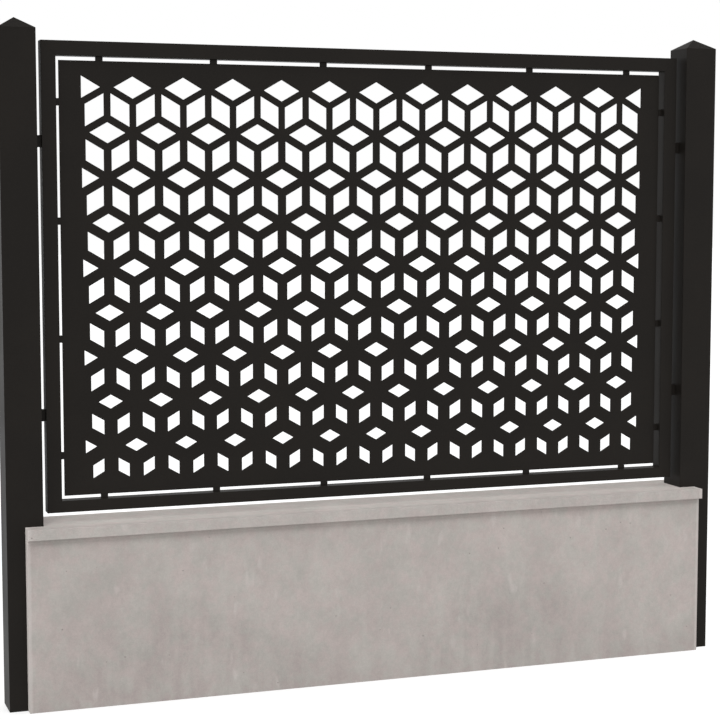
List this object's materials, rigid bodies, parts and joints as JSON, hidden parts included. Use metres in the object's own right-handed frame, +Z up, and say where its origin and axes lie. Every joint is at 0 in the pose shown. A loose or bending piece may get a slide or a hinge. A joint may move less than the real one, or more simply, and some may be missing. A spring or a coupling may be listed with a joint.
{
  "type": "cut metal fence panel",
  "caption": "Fence bay: a laser-cut sheet with a stacked-cube pattern of shrinking rhombus openings, floating in a tube frame between capped square posts on a concrete plinth.",
  "frame": {"origin": "middle of the plinth wall's underside, on the plane of the cut sheet", "axes": "+X along the fence to the right as seen from the front, +Z up, the front faces -Y"},
  "size_m": [2.16, 0.2, 1.877],
  "materials": {
    "anthracite_coat": "fine matt powder coat, warm anthracite",
    "cast_concrete": "smooth cast concrete, pale warm grey, faintly mottled"
  },
  "bodies": {
    "root": {"plinth_wall": "cast_concrete", "coping": "cast_concrete", "left_post": "anthracite_coat", "right_post": "anthracite_coat", "left_post_cap": "anthracite_coat", "right_post_cap": "anthracite_coat", "top_rail": "anthracite_coat", "bottom_rail": "anthracite_coat", "left_stile": "anthracite_coat", "right_stile": "anthracite_coat", "cut_sheet": "anthracite_coat", "left_upper_bracket": "anthracite_coat", "left_lower_bracket": "anthracite_coat", "right_upper_bracket": "anthracite_coat", "right_lower_bracket": "anthracite_coat", "top_spacer_1": "anthracite_coat", "top_spacer_2": "anthracite_coat", "top_spacer_3": "anthracite_coat", "top_spacer_4": "anthracite_coat", "top_spacer_5": "anthracite_coat", "top_spacer_6": "anthracite_coat", "bottom_spacer_1": "anthracite_coat", "bottom_spacer_2": "anthracite_coat", "bottom_spacer_3": "anthracite_coat", "bottom_spacer_4": "anthracite_coat", "bottom_spacer_5": "anthracite_coat", "bottom_spacer_6": "anthracite_coat", "left_spacer_1": "anthracite_coat", "left_spacer_2": "anthracite_coat", "left_spacer_3": "anthracite_coat", "left_spacer_4": "anthracite_coat", "right_spacer_1": "anthracite_coat", "right_spacer_2": "anthracite_coat", "right_spacer_3": "anthracite_coat", "right_spacer_4": "anthracite_coat"}
  },
  "joints": []
}
